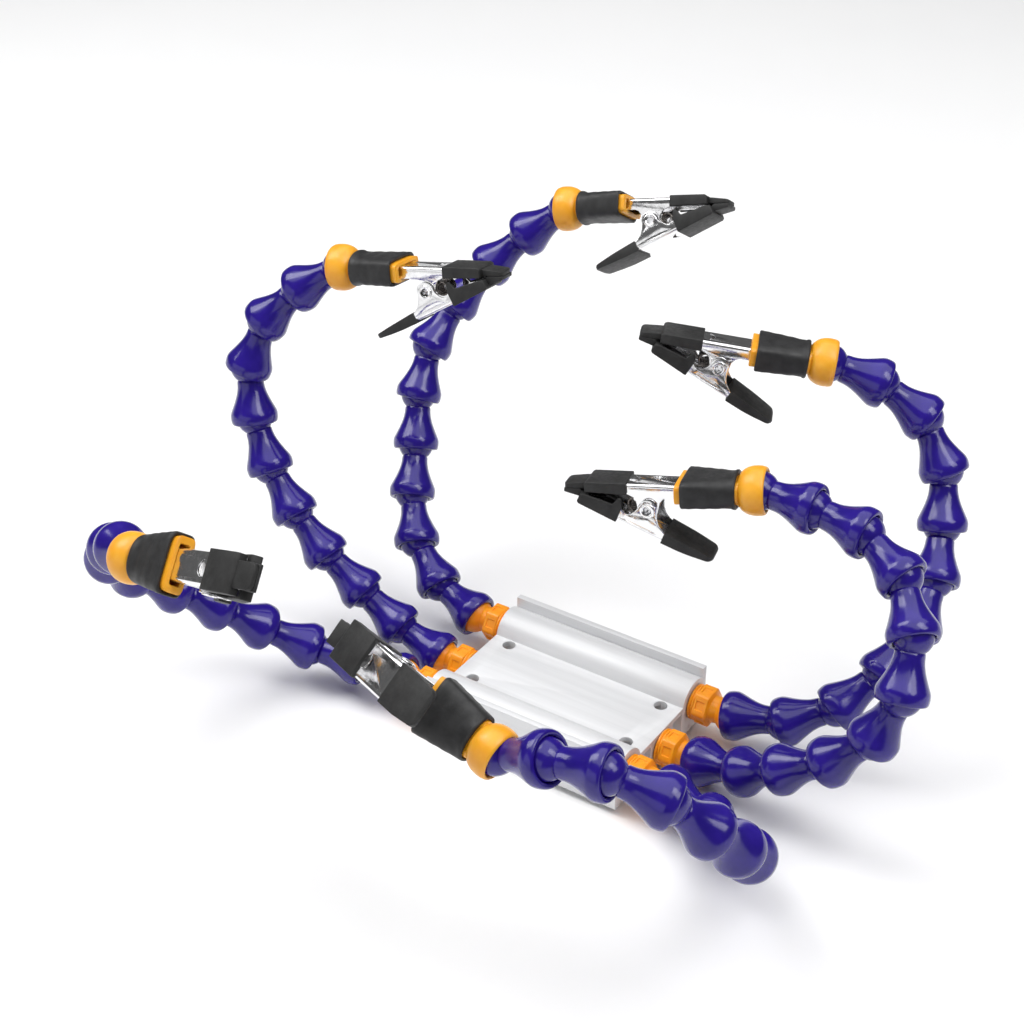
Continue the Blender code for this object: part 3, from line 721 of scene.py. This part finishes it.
def spring_mesh():
    """A torsion spring between the jaws, a leg to each half. Its origin is its coil's centre."""
    per_turn = 20
    steps = int(COIL_TURNS * per_turn)
    wire = [(-LEG_L, -COIL_HALF_W, COIL_R)]
    for k in range(steps + 1):
        angle = 2 * math.pi * k / per_turn
        y = -COIL_HALF_W + 2 * COIL_HALF_W * k / steps
        wire.append((COIL_R * math.sin(angle), y, COIL_R * math.cos(angle)))
    wire.append((LEG_L, COIL_HALF_W, -COIL_R))
    return smooth(new_mesh("wire", *tube(wire, WIRE_R, 8)), 60)


# Placing

def put(name, mesh, finish, body, replaced, origin=(0, 0, 0), axes=None):
    obj = bpy.data.objects.new(name, mesh)
    bpy.context.scene.collection.objects.link(obj)
    if not mesh.materials:
        mesh.materials.append(FINISHES[finish])
    world = np.eye(4)
    if axes is not None:
        world[:3, :3] = np.array(axes).T
    world[:3, 3] = np.asarray(origin, float) * MM
    obj.matrix_world = Matrix(world.tolist())
    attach(obj, body)
    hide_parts(replaced)


def build_stand():
    put("base_body", base_mesh(), "satin_aluminium", "stand", "base")
    foot = foot_mesh()
    for x_side, x_name in ((-1, "left"), (1, "right")):
        for y_side, y_name in ((-1, "front"), (1, "back")):
            centre = (x_side * (BASE_L / 2 - FOOT_IN_X), y_side * (BASE_W / 2 - FOOT_IN_Y), 0)
            name = f"foot_{x_name}_{y_name}"
            put(f"{name}_pad", foot, "foot_rubber", "stand", name, centre)


def build_arm(name, arm, meshes):
    side, row, offsets, direction, back = arm
    heading = np.array([side, 0.0, 0.0])
    centres = ball_centres(arm_curve(first_ball(side, row), offsets, heading))
    put(f"{name}_fitting", meshes["connector"], "orange_plastic", "stand",
        f"{name}_connector", centres[0], frame_along(heading))
    right = square_to((0, 0, 1), heading)
    for k in range(SEGMENTS):
        along = unit(centres[k + 1] - centres[k])
        right = square_to(right, along)
        run = RUN_NAMES[sum(k >= start for start in RUN_STARTS) - 1]
        put(f"{name}_segment_{k + 1}", meshes["segment"], "blue_plastic", f"{name}_{run}",
            f"{name}_hose_{run}", centres[k], (right, np.cross(along, right), along))
    x, y, z = clip_frame(direction, back)
    end = centres[-1]
    pivot = end + RIVET[0] * x + RIVET[1] * z
    coil = end + SPRING[0] * x + SPRING[1] * z
    for label, mesh, finish, slot, body, node, origin in (
        ("dome", "nozzle", "yellow_plastic", "yellow_plastic", "tip", "nozzle", end),
        ("tube_sleeve", "sleeve", "black_sleeve", "black_plastic", "tip", "sleeve", end),
        ("fixed_steel", "fixed_steel", "bright_steel", "bright_steel", "tip", "fixed_jaw", end),
        ("fixed_cover", "fixed_cover", "black_cover", "rubber", "tip", "fixed_jaw", end),
        ("rivet", "rivet", "bright_steel", "bright_steel", "tip", "fixed_jaw", pivot),
        ("coil", "spring", "spring_wire", "bright_steel", "tip", "spring", coil),
        ("moving_steel", "moving_steel", "bright_steel", "bright_steel", "jaw", "moving_jaw", pivot),
        ("moving_cover", "moving_cover", "black_cover", "rubber", "jaw", "moving_jaw", pivot),
        ("handle_cover", "handle", "black_cover", "rubber", "jaw", "moving_jaw", pivot),
    ):
        put(f"{name}_{label}", meshes[mesh], finish, f"{name}_{body}", f"{name}_{node}", origin,
            (x, y, z))


# Camera, floor and light

BACK = unit((0.464, -0.699, 0.545))
TARGET = np.array([-86.2, 97.6, 0.0])
DISTANCE = 778


def build_camera():
    data = bpy.data.cameras.new("camera")
    data.lens = 70.0
    data.sensor_width = 36.0
    data.clip_start = 0.01
    camera = bpy.data.objects.new("camera", data)
    bpy.context.scene.collection.objects.link(camera)
    up = square_to((-0.301, 0.454, 0.839), BACK)
    world = np.eye(4)
    world[:3, :3] = np.array([np.cross(up, BACK), up, BACK]).T
    world[:3, 3] = (TARGET + DISTANCE * BACK) * MM
    camera.matrix_world = Matrix(world.tolist())
    bpy.context.scene.camera = camera


def softbox(name, place, target, width, height, watts):
    data = bpy.data.lights.new(name, "AREA")
    data.shape = "RECTANGLE"
    data.size = width
    data.size_y = height
    data.energy = watts
    light = bpy.data.objects.new(name, data)
    bpy.context.scene.collection.objects.link(light)
    back = unit(np.array(place) - np.array(target))
    right = unit(np.cross((0, 0, 1), back)) if abs(back[2]) < 0.99 else np.array([1.0, 0, 0])
    world = np.eye(4)
    world[:3, :3] = np.array([right, np.cross(back, right), back]).T
    world[:3, 3] = place
    light.matrix_world = Matrix(world.tolist())


def build_studio():
    scene = bpy.context.scene
    floor_mesh = bpy.data.meshes.new("floor")
    side = 3.0
    level = -FOOT_H * MM
    corners = [(-side, -side, level), (side, -side, level), (side, side, level), (-side, side, level)]
    floor_mesh.from_pydata(corners, [], [(0, 1, 2, 3)])
    paper = Finish("floor_paper", Specular_IOR_Level=0.2)
    paper.colour(paper.noise(3), (0.90, 0.90, 0.905), (0.92, 0.92, 0.92))
    paper.roughness(paper.noise(40), 0.55, 0.65)
    floor_mesh.materials.append(paper.material)
    floor = bpy.data.objects.new("floor", floor_mesh)
    scene.collection.objects.link(floor)
    softbox("overhead", (0.0, 0.25, 1.5), (0, 0.25, 0), 2.2, 2.2, 26.0)
    softbox("left_tent", (-0.62, -0.15, 0.85), (0, 0, 0.05), 0.45, 0.7, 5.0)
    softbox("right_tent", (0.62, 0.0, 0.85), (0, 0, 0.05), 0.4, 0.7, 4.0)
    softbox("front_card", (-0.45, -1.6, 0.48), (0, 0, 0.05), 2.2, 0.9, 5.5)
    world = bpy.data.worlds.new("studio")
    scene.world = world
    world.use_nodes = True
    background = world.node_tree.nodes["Background"]
    background.inputs["Color"].default_value = (1.0, 1.0, 1.0, 1.0)
    background.inputs["Strength"].default_value = 0.10
    scene.view_settings.view_transform = "Standard"


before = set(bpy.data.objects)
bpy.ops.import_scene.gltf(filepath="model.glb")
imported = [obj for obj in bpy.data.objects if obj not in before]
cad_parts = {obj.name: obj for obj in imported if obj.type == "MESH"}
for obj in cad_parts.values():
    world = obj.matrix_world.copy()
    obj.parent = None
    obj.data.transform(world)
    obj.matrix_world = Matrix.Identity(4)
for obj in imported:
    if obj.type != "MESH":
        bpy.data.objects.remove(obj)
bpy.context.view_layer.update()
FINISHES = finishes()


def main():
    meshes = {
        "segment": segment_mesh(),
        "connector": connector_mesh(),
        "nozzle": nozzle_mesh(),
        "sleeve": sleeve_mesh(),
        "fixed_steel": fixed_steel_mesh(),
        "fixed_cover": fixed_cover_mesh(),
        "rivet": rivet_mesh(),
        "spring": spring_mesh(),
        "moving_steel": moving_steel_mesh(),
        "moving_cover": moving_cover_mesh(),
        "handle": handle_mesh(),
    }
    build_stand()
    for name, arm in ARMS.items():
        build_arm(name, arm, meshes)
    build_camera()
    build_studio()


main()
